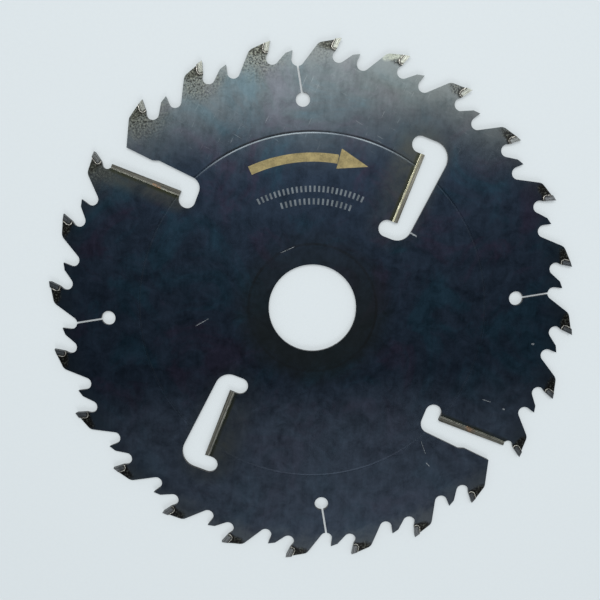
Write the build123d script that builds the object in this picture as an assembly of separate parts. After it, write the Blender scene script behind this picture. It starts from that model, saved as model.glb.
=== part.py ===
from build123d import *
import os
from math import asin, atan2, cos, degrees, radians, sin, tan

# Circular saw blade for ripping: a steel plate with brazed carbide tips, limiter teeth,
# keyhole expansion slots, and four brazed raker strips in slanted chip slots.
# Millimetres and degrees. The origin is the bore centre at mid thickness, +Z points out of
# the front face, and the blade cuts clockwise seen from +Z.

# Blade
blade_diameter = 300.0
bore_diameter = 50.0
plate_thickness = 2.2
kerf = 3.5
tooth_count = 24

# Carbide tips, with alternate top bevel
tip_hook = 20.0
tip_length = 6.5
tip_thickness = 3.0
tip_relief = 10.0
tip_bevel = 9.0
tip_foot_rise = 5.0
tip_corner_radius = 1.4
tip_side_clearance_down = 1.5
tip_side_clearance_back = 2.5

# Steel behind a tip
shoulder_back = 12.2
shoulder_drop = 3.5
shoulder_radius = 4.5
land_angle = 15.4

# Gullet in front of a tip
gullet_radius = 3.55
gullet_shelf = 0.35
gullet_lean = 60.5

# Limiter tooth, and the deep gullet behind it
limiter_lag = 11.23
limiter_drop = 7.29
limiter_land = 4.15
limiter_land_angle = 12.2
limiter_face = 5.26
deep_gullet_lag = 2.13
deep_gullet_radius = 3.55

# Keyhole expansion slots
expansion_slots = 4
slit_lag = 12.8
slit_width = 1.1
keyhole_depth = 34.2
keyhole_diameter = 8.0

# Raker strips of carbide
strip_length = 40.7
strip_width = 3.3
strip_depth_rim = 2.1
strip_depth_hub = 2.8
strip_lean = 14.7
strip_side_clearance = 2.0
inner_strip_drop = 43.6

# Chip slots beside the raker strips
ear_width = 9.5
ear_rounding = 0.49
inner_ear_depth = 9.15
inner_slot_width_rim = 13.7
inner_slot_width_hub = 9.3
inner_slot_radius_rim = 10.0
inner_slot_radius_hub = 8.3
outer_ear_depth = 8.1
outer_slot_width_rim = 13.3
outer_slot_width_hub = 9.7
outer_slot_radius_hub = 6.3
outer_slot_step = 1.5
outer_slot_step_place = 20.0
outer_slot_step_run = 3.5
outer_slot_step_radius = 2.0
outer_slot_mouth = 4.3
mouth_gullet_radius = 2.75
mouth_gullet_shelf = 0.6
mouth_gullet_lean = 79.0
mouth_gullet_set_back = 1.0

# Braze between carbide and steel
braze_gap = 0.25
braze_crown = 0.15

# Rolled tension ring, in both faces
ring_radius = 98.9
ring_width = 1.2
ring_depth = 0.06

# Sizes that follow from these
blade_radius = blade_diameter / 2
half_plate = plate_thickness / 2
pitch = 360.0 / tooth_count
outside_radius = blade_radius * 1.06
keyhole_height = blade_radius - keyhole_depth
first_tip_angle = 90.0 + degrees(atan2(slit_lag, keyhole_height)) - pitch
quarter_teeth = [round((quarter + 0.5) * tooth_count / 4) - 1 for quarter in range(4)]
inner_raker_teeth = quarter_teeth[0::2]
outer_raker_teeth = quarter_teeth[1::2]
slit_teeth = [round((turn + 1) * tooth_count / expansion_slots) - 1 for turn in range(expansion_slots)]


def way(angle):
    """Unit vector at an angle from +X."""
    return Vector(cos(radians(angle)), sin(radians(angle)))


def turned(point, angle):
    """A point turned about the bore centre."""
    return point.rotate(Axis.Z, angle)


def meet(point, direction, other, other_direction):
    """Where two straight lines cross, each given by a point and a direction."""
    gap = other - point
    across = direction.cross(other_direction).Z
    return point + direction * (gap.cross(other_direction).Z / across)


def touch(point, centre, radius, side):
    """Where a line from a point touches a circle: side 1 is a quarter turn on, -1 back."""
    outward = point - centre
    heading = degrees(atan2(outward.Y, outward.X))
    spread = 90 - degrees(asin(radius / outward.length))
    return centre + way(heading + side * spread) * radius


def arc(centre, radius, start, end):
    """Counterclockwise arc about a centre, from one point to another."""
    first = degrees(atan2(start.Y - centre.Y, start.X - centre.X))
    last = degrees(atan2(end.Y - centre.Y, end.X - centre.X))
    return CenterArc(centre, radius, first, (last - first) % 360)


# The tooth frame: a tip's cutting corner is straight above the bore centre, +X is clockwise
tip_point = Vector(0, blade_radius)
along_rake = way(90 - tip_hook)
behind_rake = way(180 - tip_hook)
tip_foot = tip_point - along_rake * tip_length
shoulder = Vector(-shoulder_back, blade_radius - shoulder_drop)


def below_foot(gap):
    """Where the rake line meets a line held below a tip's foot by a gap."""
    return tip_foot - along_rake * (gap / cos(radians(tip_hook - tip_foot_rise)))


seat_foot = below_foot(braze_gap)

# The strip frame: s runs from the strip's rim end to its hub end, w points into the chip slot
strip_way = way(strip_lean - 90)
slot_way = way(strip_lean)
mouth_gullet = seat_foot + way(-mouth_gullet_lean) * (mouth_gullet_radius + mouth_gullet_shelf)
outer_strip = mouth_gullet + strip_way * mouth_gullet_radius + slot_way * mouth_gullet_set_back
inner_strip = Vector(0, blade_radius - inner_strip_drop)


def tooth_place(tooth):
    """Turn from the tooth frame to the place of a tooth, counted clockwise from the top."""
    return Rot(0, 0, first_tip_angle - 90 - pitch * tooth)


def strip_point(strip, s, w):
    """A point of a strip's frame, in the tooth frame."""
    return strip + strip_way * s + slot_way * w


def tip_heel(gap):
    """Corner between a tip's back and its foot, held off the carbide by a gap."""
    back = tip_point + behind_rake * (tip_thickness + gap)
    return meet(back, along_rake, below_foot(gap), way(-tip_foot_rise))


def land_point(corner):
    """Where a line up a tip's back from a corner meets the steel's land."""
    return meet(corner, along_rake, shoulder, way(land_angle))


def carbide_line():
    """A tip's back and foot, from the steel's land to the rake."""
    heel = tip_heel(0)
    return FilletPolyline(land_point(heel), heel, tip_foot, radius=tip_corner_radius)


def seat_line():
    """The steel's seat, one braze gap off the carbide. A flat cuts its corner beside the tip's round."""
    corner = tip_heel(braze_gap)
    half_corner = radians(90 - tip_hook + tip_foot_rise) / 2
    round_height = (tip_corner_radius + braze_gap) * (1 / sin(half_corner) - 1)
    cut = round_height / cos(half_corner)
    cut_back = corner + along_rake * cut
    cut_foot = corner + way(-tip_foot_rise) * cut
    return Polyline(land_point(corner), cut_back, cut_foot, seat_foot)


def gap_outline(middle, last_point, last_corners, last_radii):
    """Face of the space in front of a tooth, past its seat and up to the next tooth's land."""
    next_shoulder = turned(shoulder, -pitch)
    land_end = turned(meet(shoulder, way(land_angle), Vector(1, 0), way(90)), -pitch)
    out_end = land_end + way(90 - pitch) * (outside_radius - blade_radius)
    seat = seat_line()
    seat_top = seat @ 0
    out_start = seat_top + along_rake * (outside_radius - blade_radius)
    outline = seat + middle
    corners = [last_point] + last_corners + [next_shoulder, land_end]
    outline += FilletPolyline(*corners, radius=last_radii + [shoulder_radius])
    outline += Polyline(land_end, out_end, out_start, seat_top)
    return make_face(outline)


def limiter_gap():
    """Space between two tips, with the limiter tooth standing in it."""
    gullet = seat_foot + way(-gullet_lean) * (gullet_radius + gullet_shelf)
    corner = Vector(limiter_lag, blade_radius - limiter_drop)
    heel = corner - way(limiter_land_angle) * limiter_land
    deep_gullet = corner + Vector(deep_gullet_lag, -limiter_face)
    gullet_in = touch(seat_foot, gullet, gullet_radius, 1)
    gullet_out = touch(heel, gullet, gullet_radius, -1)
    deep_in = touch(corner, deep_gullet, deep_gullet_radius, 1)
    deep_out = touch(turned(shoulder, -pitch), deep_gullet, deep_gullet_radius, -1)
    middle = Line(seat_foot, gullet_in) + arc(gullet, gullet_radius, gullet_in, gullet_out)
    middle += Polyline(gullet_out, heel, corner, deep_in)
    middle += arc(deep_gullet, deep_gullet_radius, deep_in, deep_out)
    return gap_outline(middle, deep_out, [], [])


def expansion_slot():
    """Keyhole and slit that open into the deep gullet."""
    top = blade_radius - limiter_drop - limiter_face
    length = top - keyhole_height
    slit = Pos(slit_lag, keyhole_height + length / 2) * Rectangle(slit_width, length)
    return slit + Pos(slit_lag, keyhole_height) * Circle(keyhole_diameter / 2)


def slot_edge(s, width_rim, width_hub):
    """Far edge of a chip slot, as a distance from the strip's cutting edge."""
    return width_rim + (width_hub - width_rim) * s / strip_length


def inner_slot():
    """Closed chip slot with a rounded ear behind each end of its strip."""
    hub_end = strip_length + ear_width
    ear = ear_width * ear_rounding
    edge_hub = slot_edge(hub_end, inner_slot_width_rim, inner_slot_width_hub)
    edge_rim = slot_edge(-ear_width, inner_slot_width_rim, inner_slot_width_hub)
    corners = [
        (0, 0),
        (strip_length, 0),
        (strip_length, -inner_ear_depth),
        (hub_end, -inner_ear_depth),
        (hub_end, edge_hub),
        (-ear_width, edge_rim),
        (-ear_width, -inner_ear_depth),
        (0, -inner_ear_depth),
    ]
    radii = [0, 0, ear, ear, inner_slot_radius_hub, inner_slot_radius_rim, ear, ear]
    points = [strip_point(inner_strip, s, w) for s, w in corners]
    return make_face(FilletPolyline(*points, radius=radii, close=True))


def outer_slot():
    """Chip slot that opens at the rim, in place of a limiter tooth and its deep gullet."""
    hub_end = strip_length + ear_width
    ear = ear_width * ear_rounding
    step_start = outer_slot_step_place + outer_slot_step_run
    edges = [
        slot_edge(s, outer_slot_width_rim, outer_slot_width_hub)
        for s in (hub_end, step_start, outer_slot_step_place, outer_slot_mouth)
    ]
    corners = [
        (0, 0),
        (strip_length, 0),
        (strip_length, -outer_ear_depth),
        (hub_end, -outer_ear_depth),
        (hub_end, edges[0]),
        (step_start, edges[1]),
        (outer_slot_step_place, edges[2] - outer_slot_step),
        (outer_slot_mouth, edges[3] - outer_slot_step),
    ]
    step = outer_slot_step_radius
    radii = [0, 0, ear, ear, outer_slot_radius_hub, step, step, 0]
    points = [strip_point(outer_strip, s, w) for s, w in corners]
    gullet_in = touch(seat_foot, mouth_gullet, mouth_gullet_radius, 1)
    gullet_out = strip_point(outer_strip, 0, -mouth_gullet_set_back)
    middle = Line(seat_foot, gullet_in)
    middle += arc(mouth_gullet, mouth_gullet_radius, gullet_in, gullet_out)
    return gap_outline(middle, gullet_out, points, radii)


def strip_back(s, gap):
    """A point of a strip's back edge, held off the carbide by a gap."""
    depth = strip_depth_rim + (strip_depth_hub - strip_depth_rim) * s / strip_length
    return s, -depth - gap


def strip_face(strip, corners):
    """Face with straight sides, given by points of a strip's frame."""
    points = [strip_point(strip, s, w) for s, w in corners]
    return make_face(Polyline(*points, close=True))


def strip_seat(strip, run_out):
    """Seat of a strip in the plate, carried on past the strip's rim end by a run-out."""
    back_hub = strip_back(strip_length, braze_gap)
    back_rim = strip_back(-run_out, braze_gap)
    open_side = inner_slot_width_hub / 2
    corners = [(-run_out, open_side), (strip_length, open_side), back_hub, back_rim]
    return strip_face(strip, corners)


def tension_ring():
    """Shallow V groove of the ring, for the front face."""
    floor = (ring_radius, half_plate - ring_depth)
    inner = (ring_radius - ring_width / 2, half_plate)
    outer = (ring_radius + ring_width / 2, half_plate)
    lip = half_plate + ring_depth
    profile = Polyline(floor, outer, (outer[0], lip), (inner[0], lip), inner, floor)
    return revolve(Plane.XZ * make_face(profile), Axis.Z)


def blade_plate():
    """Steel plate with every gap, slot, seat and the bore cut through it."""
    cuts = []
    for tooth in range(tooth_count):
        place = tooth_place(tooth)
        if tooth in outer_raker_teeth:
            cuts.append(place * outer_slot())
            cuts.append(place * strip_seat(outer_strip, mouth_gullet_radius))
        else:
            cuts.append(place * limiter_gap())
        if tooth in inner_raker_teeth:
            cuts.append(place * inner_slot())
            cuts.append(place * strip_seat(inner_strip, 0))
        if tooth in slit_teeth:
            cuts.append(place * expansion_slot())
    cuts.append(Circle(bore_diameter / 2))
    plate = extrude(Circle(blade_radius) - cuts, half_plate, both=True)
    ring = tension_ring()
    return plate - ring - mirror(ring, Plane.XY)


def side_plane(point, half_width, down, back):
    """Front side of a carbide piece, relieved downwards and backwards by two angles."""
    normal = Vector(-tan(radians(back)), -tan(radians(down)), 1)
    return Plane(origin=(point.X, point.Y, half_width), z_dir=normal)


def carbide_tip(bevel_side):
    """One tip. Its high corner is on the front for a bevel side of 1, on the back for -1."""
    top = tip_point + along_rake
    corners = [top, top + behind_rake * tip_thickness, tip_heel(0), tip_foot]
    radii = [0, 0, tip_corner_radius, 0]
    profile = make_face(FilletPolyline(*corners, radius=radii, close=True))
    tip = extrude(profile, kerf / 2, both=True)
    side = side_plane(tip_point, kerf / 2, tip_side_clearance_down, tip_side_clearance_back)
    tip = split(tip, bisect_by=side, keep=Keep.BOTTOM)
    tip = mirror(split(mirror(tip, Plane.XY), bisect_by=side, keep=Keep.BOTTOM), Plane.XY)
    lift = Vector(-tan(radians(tip_relief)), 1, -bevel_side * tan(radians(tip_bevel)))
    top_plane = Plane(origin=(tip_point.X, tip_point.Y, bevel_side * kerf / 2), z_dir=lift)
    return split(tip, bisect_by=top_plane, keep=Keep.BOTTOM)


def band(inner, outer):
    """Face between two lines that run side by side."""
    return make_face(inner + Line(inner @ 1, outer @ 1) + outer + Line(outer @ 0, inner @ 0))


def tip_braze():
    """Braze behind and below a tip, crowned a little over the plate's faces."""
    return extrude(band(carbide_line(), seat_line()), half_plate + braze_crown, both=True)


def raker_strip(strip):
    """One strip, its cutting edge along the chip slot."""
    corners = [(0, 0), (strip_length, 0), strip_back(strip_length, 0), strip_back(0, 0)]
    bar = extrude(strip_face(strip, corners), strip_width / 2, both=True)
    lean = tan(radians(strip_side_clearance))
    edge = (strip.X, strip.Y, strip_width / 2)
    side = Plane(origin=edge, z_dir=Vector(-slot_way.X * lean, -slot_way.Y * lean, 1))
    bar = split(bar, bisect_by=side, keep=Keep.BOTTOM)
    return mirror(split(mirror(bar, Plane.XY), bisect_by=side, keep=Keep.BOTTOM), Plane.XY)


def strip_braze(strip):
    """Braze behind a strip, crowned like a tip's."""
    corners = [
        strip_back(0, 0),
        strip_back(strip_length, 0),
        strip_back(strip_length, braze_gap),
        strip_back(0, braze_gap),
    ]
    return extrude(strip_face(strip, corners), half_plate + braze_crown, both=True)


os.makedirs("parts", exist_ok=True)
export_step(blade_plate(), "parts/blade_plate.step")

tips = {1: carbide_tip(1), -1: carbide_tip(-1)}
braze = tip_braze()
for tooth in range(tooth_count):
    bevel_side = 1 if tooth % 2 == 0 else -1
    number = f"{tooth + 1:02d}"
    export_step(tooth_place(tooth) * tips[bevel_side], f"parts/tip_{number}.step")
    export_step(tooth_place(tooth) * braze, f"parts/tip_braze_{number}.step")

for group, strip, teeth in (
    ("inner", inner_strip, inner_raker_teeth),
    ("outer", outer_strip, outer_raker_teeth),
):
    for number, tooth in enumerate(teeth, start=1):
        place = tooth_place(tooth)
        export_step(place * raker_strip(strip), f"parts/{group}_raker_strip_{number}.step")
        export_step(place * strip_braze(strip), f"parts/{group}_raker_braze_{number}.step")
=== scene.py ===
from functools import partial
from math import atan2, cos, degrees, radians, sin, tan

import bpy
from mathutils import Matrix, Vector


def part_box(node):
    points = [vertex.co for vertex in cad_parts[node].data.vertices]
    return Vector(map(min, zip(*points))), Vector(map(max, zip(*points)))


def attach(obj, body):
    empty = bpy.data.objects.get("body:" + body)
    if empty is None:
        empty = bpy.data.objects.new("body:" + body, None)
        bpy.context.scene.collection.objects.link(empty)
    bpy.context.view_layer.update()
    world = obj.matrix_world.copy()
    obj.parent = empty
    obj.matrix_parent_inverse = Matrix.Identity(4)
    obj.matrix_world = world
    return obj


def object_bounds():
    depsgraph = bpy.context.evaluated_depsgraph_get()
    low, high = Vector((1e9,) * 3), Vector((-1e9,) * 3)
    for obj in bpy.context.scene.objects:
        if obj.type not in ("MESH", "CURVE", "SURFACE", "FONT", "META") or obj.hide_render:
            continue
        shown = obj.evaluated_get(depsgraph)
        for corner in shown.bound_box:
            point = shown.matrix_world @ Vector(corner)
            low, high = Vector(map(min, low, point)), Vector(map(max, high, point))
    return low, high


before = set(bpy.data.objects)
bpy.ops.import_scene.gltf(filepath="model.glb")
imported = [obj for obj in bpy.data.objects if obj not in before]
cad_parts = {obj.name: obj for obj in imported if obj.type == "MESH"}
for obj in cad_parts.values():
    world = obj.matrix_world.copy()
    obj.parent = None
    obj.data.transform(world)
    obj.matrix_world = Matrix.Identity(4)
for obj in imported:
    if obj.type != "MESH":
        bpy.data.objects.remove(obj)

bl_info = {
    "name": "Circular saw blade",
    "version": (1, 0, 0),
    "blender": (4, 5, 0),
    "location": "3D View > Sidebar > Saw blade",
    "description": "Finishes, braze beads, etched marks and studio of a rip saw blade",
    "category": "Object",
}

MM = 0.001

# The blade, as the frame gives it. Points on it are in millimetres, in the blade's own plane
CAD_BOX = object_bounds()
PLATE_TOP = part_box("blade_plate")[1].z / MM
TIPS = [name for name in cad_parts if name.startswith("tip_") and "braze" not in name]
STRIPS = ("inner_raker_{}_1", "inner_raker_{}_2", "outer_raker_{}_1", "outer_raker_{}_2")

# Angles in degrees and the tip circle, and the least length of a strip's long side
PITCH = 360 / len(TIPS)
FIRST_TIP_ANGLE = 81.31
TIP_RADIUS = 150.0
STRIP_MINIMUM = 30.0

# A tip's back and foot, in the frame of a tooth whose tip points straight up
TIP_HOOK = 20.0
TIP_LENGTH = 6.5
TIP_THICKNESS = 3.0
TIP_FOOT_RISE = 5.0
TIP_CORNER_RADIUS = 1.4
LAND_ANGLE = 15.4
SHOULDER = (-12.2, 146.5)

# Behind a tip, in (back from it, out from the bore): the mapping that makes the oval burnt land a
# circle about nought, and the middle of the specks
BURNT_LAND = {"Location": (-5.0, -219.0, 0.0), "Scale": (0.75, 1.5, 1.0)}
SPECKED_MIDDLE = (6.0, 145.0, 0.0)

# Rings as (radius, half width, strength, share of it below the top, colour): the rolled tension
# ring's painted highlight and the painted shade just outside it, and the flange's dark line
RINGS = (
    (98.35, 0.5, 0.9, 0.06, "ring"),
    (99.4, 0.8, 0.7, 0.06, "burnt"),
    (36.5, 1.1, 0.4, 1.0, "burnt"),
)

# Lines on the blade as (start, end, width): scratches, a pale land, heat stains on two strips and
# a painted highlight on the hub end of one strip's braze
SCRATCHES = (
    ((-16.3, 32.5), (-8.9, 35.4), 0.17),
    ((-67.1, -7.0), (-59.7, -3.3), 0.3),
    ((96.3, -58.3), (100.7, -59.9), 0.3),
    ((108.0, -64.6), (108.6, -64.8), 0.9),
    ((60.0, -81.9), (62.1, -89.0), 0.2),
    ((62.4, -94.6), (64.3, -96.8), 0.35),
    ((125.6, -27.0), (126.2, -27.0), 1.0),
    ((57.0, 40.4), (60.3, 38.2), 0.8),
)
PALE_LAND = ((46.6, 137.2), (53.3, 137.8), 4.0)
STAINS = (
    ((-85.5, 73.6), (-82.5, 72.2), 2.0),
    ((87.6, -74.9), (89.6, -75.9), 3.6),
)
HIGHLIGHT_RUN = ((47.4, 47.0), (50.5, 54.0), 5.0)
HIGHLIGHT_GAIN = 1.7

# Widths along the brazed joints: heated steel as (strip, width), flux, a strip's pale edge, seams
HEATED = ((STRIPS[0], 28.0), (STRIPS[1], 28.0), (STRIPS[3], 16.0))
FLUX_WIDTH = 4.0
STRIP_EDGE = 4.4
STRIP_SEAM = 2.1
PLATE_SEAM = 2.8
TIP_SEAM = 1.3
SEAM_STRENGTH = 0.8

# Ways across the blade: towards the specked teeth, two less burnt ones and the silvery braze
SPECKED_WAY = (-0.45, 0.89, 0.0)
CLEAN_WAY = (0.52, 0.85, 0.0)
SILVERY_WAY = (0.66, 0.75, 0.0)

# Zones of the finish as (from, to), in millimetres up from the bore's axis
# The grey top: thin oxide, and partly a painted highlight of the light above
THIN_OXIDE_AND_SHEEN = (94.0, 178.0)
# Paler blue-grey towards the bottom
LOWER_OXIDE = (-34.0, -76.0)
UPPER_TEETH = (60.0, 130.0)
LOWER_TEETH = (-60.0, -130.0)
LESS_DULLED = (-10.0, 35.0)
# Where the painted highlights of the tension ring and of the hair-fine scratches show
TOP_HIGHLIGHT_ZONE = (73.0, 94.0)
# The uppermost tips' painted highlight
TIP_HIGHLIGHT_ZONE = (70.0, 138.0)
DULLED_STRIPS = (0.0, 80.0)

# Zones to the right of the axis, out from it, and along the ways
PLAIN_OXIDE = (-10.0, 80.0)
TOOTHED_RIM = (143.0, 157.0)
FLANGE_SEAT = (38.0, 58.0)
HEATED_REACH = (66.0, 96.0)
# Tips paler towards the top and the bottom
PALER_TIPS = (20.0, 150.0)
SPECKED_TEETH = (108.0, 140.0)
CLEAN_TEETH = (135.0, 142.0)
SILVERY_STRIPS = (-20.0, 90.0)

# Sizes of the patterns, and turns in degrees of those with a direction. The grit, the hairs, the
# striae and the lay are drawn coarser than the real ones, which are too fine to show
DRIFT_SIZE = 60.0
BLOTCH_SIZE = 9.0
MOTTLE_SIZE = 2.2
LAY_WIDTH = 1.6
LAY_TURN = 8.0
RAGGED_SIZE = 5.0
FLECK_SIZE = 1.1
GRIT_SIZE = 0.7
WEAR_SIZE = 26.0
HAIR_WIDTH = 0.4
HAIR_TURNS = (33.0, 118.0)
STRIA_WIDTH = 0.4
PATCH_SIZE = 24.0
STAIN_SIZE = 2.4
BURN_SIZE = 8.0
ETCHED_GRAIN = 0.8
ETCHED_WEAR = 5.0
PAPER_GRAIN = 1.5

# Braze as (size of its lumps, strength of its relief), and lumps pushed out of a bead's mesh as
# (height, size)
TIP_BRAZE = (1.1, 0.5)
STRIP_BRAZE = (4.0, 0.1)
TIP_LUMPS = (0.35, 1.2)
STRIP_LUMPS = (0.03, 6.0)

# A bead's section: its middle's way out from the carbide in reaches, and its tallness in heights,
# half of it inside the plate
BEAD_OUTSET = 0.45
BEAD_TALLNESS = 1.2

# A tip's bead, as (share of the back or foot, growth), from the land down and along the foot
BEAD_START = 0.12
BACK_STATIONS = ((0.4, 0.8), (0.75, 1.2), (1.0, 1.1))
CORNER_GROWTH = (1.15, 0.85)
FOOT_STATIONS = ((0.55, 0.85), (0.88, 0.6))

# A strip's bead: its steps, the share left bare at each end, and its swell along the way
STRIP_STEPS = 20
STRIP_BARE_END = 0.01
STRIP_SWELL = 0.14
STRIP_SWELL_TURN = 1.3

# Arrow in degrees from +X, and tick rows as (name, radius, first angle, last angle, gaps)
ARROW_TAIL = 112.0
ARROW_NECK = 78.0
ARROW_STEPS = 30
HEAD_BACK = 77.4
HEAD_POINT = 66.0
TICK_LENGTH = 3.4
TICK_ROWS = (
    ("outer_tick_row", 67.5, 114.0, 63.0, 24),
    ("inner_tick_row", 60.5, 104.0, 67.0, 15),
)

# Lamps as (name, place, width and depth) and the floor, in metres, and the camera in millimetres
# and degrees
LAMPS = (
    ("key_light", (0.05, 0.42, 1.15), 1.1, 0.5),
    ("low_light", (0.10, -0.95, 1.0), 0.7, 0.7),
)
FLOOR_SIZE = 4.0
CAMERA_PLACE = (-8.70, 59.82, 439.69)
CAMERA_TURN = (-7.102, -0.573, -2.698)
SENSOR_WIDTH = 36.0

# Settings that many nodes share
TIMES = {"operation": "MULTIPLY"}
TIMES_PLUS = {"operation": "MULTIPLY_ADD"}
HIGHEST = {"operation": "MAXIMUM"}
ALONG = {"operation": "DOT_PRODUCT", "out": "Value"}
SMOOTH = {"interpolation_type": "SMOOTHSTEP"}
COLOURS = {"data_type": "RGBA", "out": 2}
TONED = {"blend_type": "MULTIPLY", **COLOURS}
ABOUT_Z = {"rotation_type": "Z_AXIS"}


def linear(colour):
    """Linear colour of an sRGB hex value."""
    parts = [int(colour[i:i + 2], 16) / 255 for i in (1, 3, 5)]
    return tuple(c / 12.92 if c <= 0.04045 else ((c + 0.055) / 1.055) ** 2.4 for c in parts)


def colour_property(name, description, default):
    """Colour property with an sRGB hex default."""
    return bpy.props.FloatVectorProperty(
        name=name, description=description, default=linear(default), subtype="COLOR",
        size=3, min=0.0, max=1.0,
    )


def size_property(name, description, default):
    """Length property with a default in millimetres."""
    return bpy.props.FloatProperty(
        name=name, description=description, default=default * MM, unit="LENGTH", precision=5
    )


def share_property(name, description, default):
    """Property from 0 to 1."""
    return bpy.props.FloatProperty(
        name=name, description=description, default=default, min=0.0, max=1.0, subtype="FACTOR"
    )


class PlateFinish(bpy.types.PropertyGroup):
    """Blued steel of the plate."""

    navy: colour_property("Navy", "Main colour of the blued oxide", "#161d26")
    teal: colour_property("Teal", "Green-blue clouds in the oxide", "#14212a")
    plum: colour_property("Plum", "Purple clouds in the oxide", "#1b1b25")
    # Slate, Green slate, Plain slate and Warm slate are the grey top: thin oxide, lightened as a painted
    # highlight of the light above
    slate: colour_property("Slate", "Thin, grey oxide towards the top", "#3a4042")
    # Blue slate: the oxide paler blue-grey towards the bottom
    slate_blue: colour_property("Blue slate", "Worn oxide of the lower part", "#363d47")
    slate_teal: colour_property("Green slate", "Green-blue clouds in the thin oxide", "#384347")
    slate_plain: colour_property("Plain slate", "Neutral thin oxide at the upper right", "#393c3a")
    slate_warm: colour_property("Warm slate", "Purple-grey clouds in the thin oxide", "#3d4044")
    warm: colour_property("Warm grey", "Bared steel between the specks", "#363832")
    olive: colour_property("Olive", "Neutral oxide round the teeth", "#171d21")
    # Rim: lighter grey round the upper teeth, partly a painted highlight of the light above
    rim: colour_property("Rim", "Thin oxide on the upper and lower teeth", "#4d5050")
    seat: colour_property("Flange seat", "Oxide dulled by the flange round the bore", "#171a1a")
    heated: colour_property("Heated", "Olive oxide beside the inner strips", "#2d2e29")
    # Burnt: also the painted shade just outside the rolled tension ring
    burnt: colour_property("Burnt scale", "Scale behind the tips", "#12110f")
    specks: colour_property("Specks", "Bare specks beside the teeth", "#55574f")
    # Ring: the painted highlight of the shallow rolled tension ring
    ring: colour_property("Ring", "Steel burnished by the rolled ring", "#585e61")
    flux: colour_property("Flux", "Flux burnt on beside the raker strips", "#1f2014")
    pale: colour_property("Pale patch", "Bare patch on one upper tooth", "#72766c")
    bright: colour_property("Bright steel", "Steel laid bare by scratches", "#8b8f90")
    edge: colour_property("Cut edge", "Laser-cut walls of the teeth and slots", "#3a3634")
    roughness: share_property("Roughness", "Roughness of the satin oxide", 0.37)
    cloud: size_property("Cloud size", "Width of the colour clouds", 42.0)


class CarbideFinish(bpy.types.PropertyGroup):
    """Ground tungsten carbide."""

    # The uppermost tips' paler carbide: a painted highlight of the light above
    top_highlight: colour_property("Fresh", "Clean ground carbide of the uppermost tips", "#74766f")
    pale: colour_property("Pale", "Carbide dulled a little", "#5d5f60")
    dark: colour_property("Dark", "Carbide dulled by use and heat", "#3d4042")
    strip_pale: colour_property("Strip pale", "Clean side of a raker strip", "#5a5952")
    strip_dark: colour_property("Strip dark", "Dulled side of a raker strip", "#3b3a35")
    seam: colour_property("Seam", "Flux line beside a tip's bead", "#1d1b19")
    rust: colour_property("Rust", "Burnt orange-brown stain on the strips", "#785f4a")
    roughness: share_property("Roughness", "Roughness of the ground sides", 0.42)
    line: size_property("Grinding line", "Distance between grinding lines", 0.35)


class BrazeFinish(bpy.types.PropertyGroup):
    """Silver braze."""

    silver: colour_property("Silver", "Fresh silver braze at the tips", "#9a9890")
    straw: colour_property("Straw", "Bead along the upper right strip", "#a7a590")
    grey: colour_property("Grey", "Bead along the other strips", "#66675f")
    wet_straw: colour_property("Wet straw", "Braze run onto the upper right strip", "#7e7c68")
    wet_grey: colour_property("Wet grey", "Braze run onto the other strips", "#787770")
    rust: colour_property("Rust", "Orange-brown heat stain on the braze", "#7a5a40")
    roughness: share_property("Roughness", "Roughness of the frozen braze", 0.34)
    reach: size_property("Bead reach", "Reach of a tip's bead from the carbide", 0.65)
    strip_reach: size_property("Strip bead reach", "Reach of a strip's bead from the carbide", 0.5)
    wetted: size_property("Wetted width", "Width of the braze run onto the strips' edges", 1.2)
    height: size_property("Bead height", "Height of a bead against the carbide", 0.42)


class MarkFinish(bpy.types.PropertyGroup):
    """Etched rotation arrow and tick rows."""

    gold: colour_property("Gold", "Colour of the arrow", "#726746")
    grey: colour_property("Grey", "Colour of the ticks", "#4f5559")
    radius: size_property("Arrow radius", "Radius of the arrow's middle line", 85.0)
    width: size_property("Arrow width", "Width of the arrow's shaft", 5.0)
    head: size_property("Arrow head", "Width of the arrow's head", 11.5)
    tick: size_property("Tick width", "Width of a tick", 1.1)
    thickness: size_property("Thickness", "Thickness of the etched layer", 0.02)


class StudioSettings(bpy.types.PropertyGroup):
    """Floor, light and camera."""

    floor: colour_property("Floor", "Pale paper floor", "#cbd1d3")
    backdrop: colour_property("Backdrop", "Even pale surroundings that light the blade", "#bfc7cd")
    evenness: share_property("Evenness", "Share of the floor seen in its plain colour", 0.45)
    key_power: bpy.props.FloatProperty(
        name="Key light", description="Power of the large light past the top", default=12.5, unit="POWER"
    )
    low_power: bpy.props.FloatProperty(
        name="Low light", description="Power of the light past the bottom", default=4.3, unit="POWER"
    )
    lens: bpy.props.FloatProperty(
        name="Lens", description="Focal length on a 36 mm wide sensor", default=46.52, unit="CAMERA"
    )


def way(angle):
    """Unit vector at an angle in degrees."""
    return Vector((cos(radians(angle)), sin(radians(angle))))


def crossing(point, direction, other, other_direction):
    """Where two lines in the plane cross."""
    along = other_direction.cross(other - point) / other_direction.cross(direction)
    return point + direction * along


def tip_edge():
    """Route along a tip's back and foot: land, corner start, middle and end, and rake, then how far
    the middle and the end of the corner each turn it, in degrees."""
    point = Vector((0, TIP_RADIUS))
    rake = way(90 - TIP_HOOK)
    foot_way = way(-TIP_FOOT_RISE)
    rake_foot = point - rake * TIP_LENGTH
    back = point + way(180 - TIP_HOOK) * TIP_THICKNESS
    heel = crossing(back, rake, rake_foot, foot_way)
    land = crossing(back, rake, Vector(SHOULDER), way(LAND_ANGLE))
    half = radians(90 - TIP_HOOK + TIP_FOOT_RISE) / 2
    tangent = TIP_CORNER_RADIUS / tan(half)
    inward = (rake + foot_way).normalized()
    middle = heel + inward * (TIP_CORNER_RADIUS / sin(half) - TIP_CORNER_RADIUS)
    corner = (heel + rake * tangent, middle, heel + foot_way * tangent)
    return land, *corner, rake_foot, 90 - degrees(half)


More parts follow.
